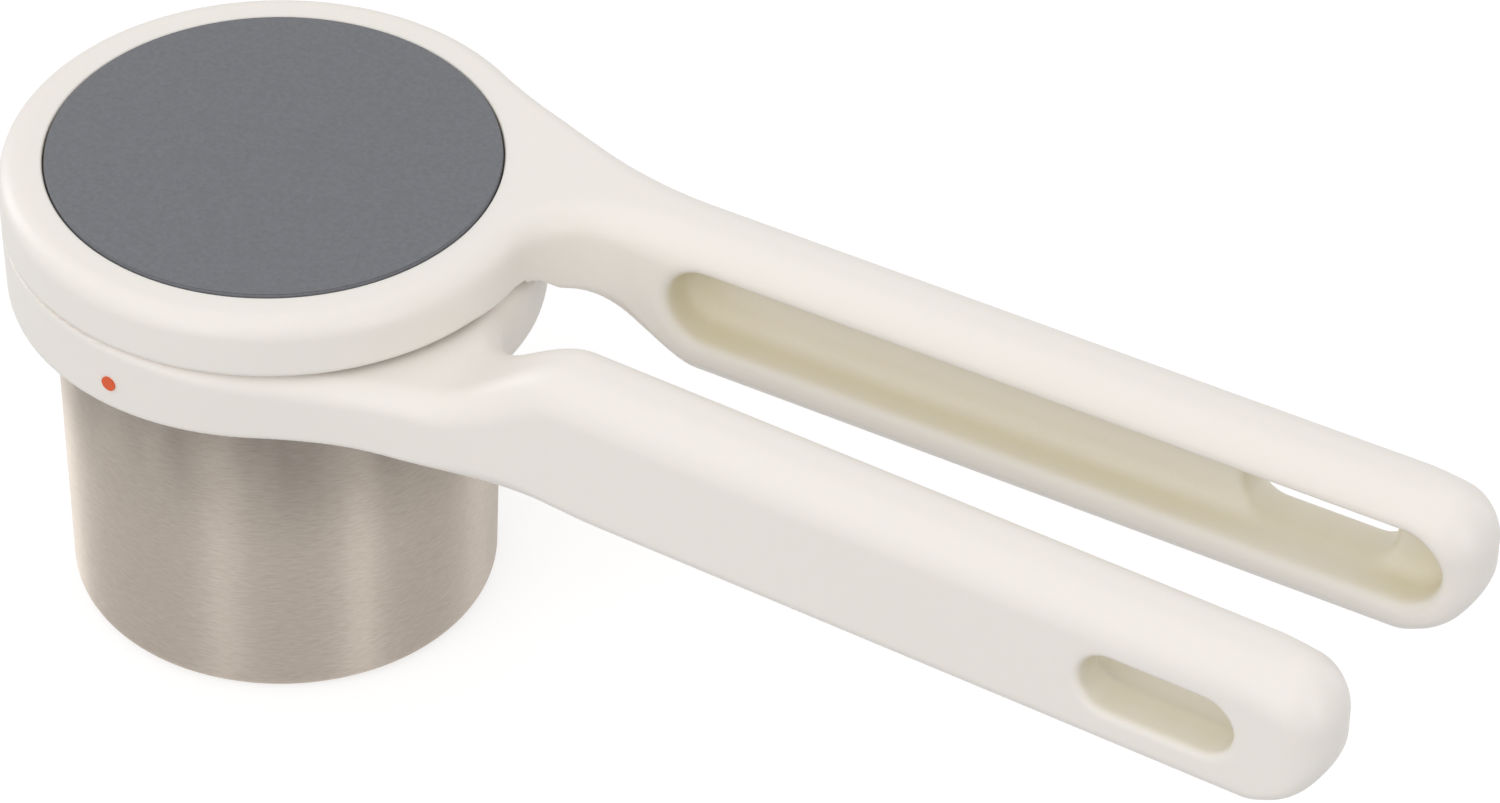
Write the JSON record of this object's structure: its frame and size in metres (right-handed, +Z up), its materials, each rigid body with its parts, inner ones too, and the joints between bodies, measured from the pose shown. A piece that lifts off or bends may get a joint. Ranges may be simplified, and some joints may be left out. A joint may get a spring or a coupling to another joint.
{
  "type": "potato ricer",
  "caption": "Twist-action potato ricer: two channel handles, a head ring with a grooved press drum, and a perforated steel basket hung in a collar.",
  "frame": {"origin": "centre of the basket's underside, on the basket's axis", "axes": "+Z up along the basket's axis, +X along the two handles, +Y towards the upper handle"},
  "size_m": [0.2998, 0.106, 0.1016],
  "materials": {
    "ivory_plastic": "satin moulded",
    "grey_cap": "satin",
    "basket_steel": "brushed",
    "index_orange": "satin",
    "drive_plastic": "satin moulded",
    "hardware_steel": "turned"
  },
  "bodies": {
    "lower": {"lower_handle": "ivory_plastic", "basket": "basket_steel", "index_dot_lower": "index_orange"},
    "press": {"press_disc": "drive_plastic", "thrust_washer": "hardware_steel"},
    "upper": {"upper_handle": "ivory_plastic", "top_disc": "grey_cap", "helix_sleeve": "drive_plastic", "sleeve_screws": "hardware_steel", "index_dot_upper": "index_orange", "pivot_screw": "hardware_steel", "pivot_nut": "hardware_steel"}
  },
  "joints": [
    {"name": "press_travel", "type": "slide", "parent": "lower", "child": "press", "axis": [0, 0, 1], "range_m": [0, 0.0577]},
    {"name": "handle_twist", "type": "hinge", "parent": "press", "child": "upper", "pos_m": [0, 0, 0], "axis": [0, 0, 1], "range_deg": [0, 115]}
  ],
  "couplings": [
    {"joint": "press_travel", "follows": "handle_twist", "m_per_rad": 0.028648}
  ]
}
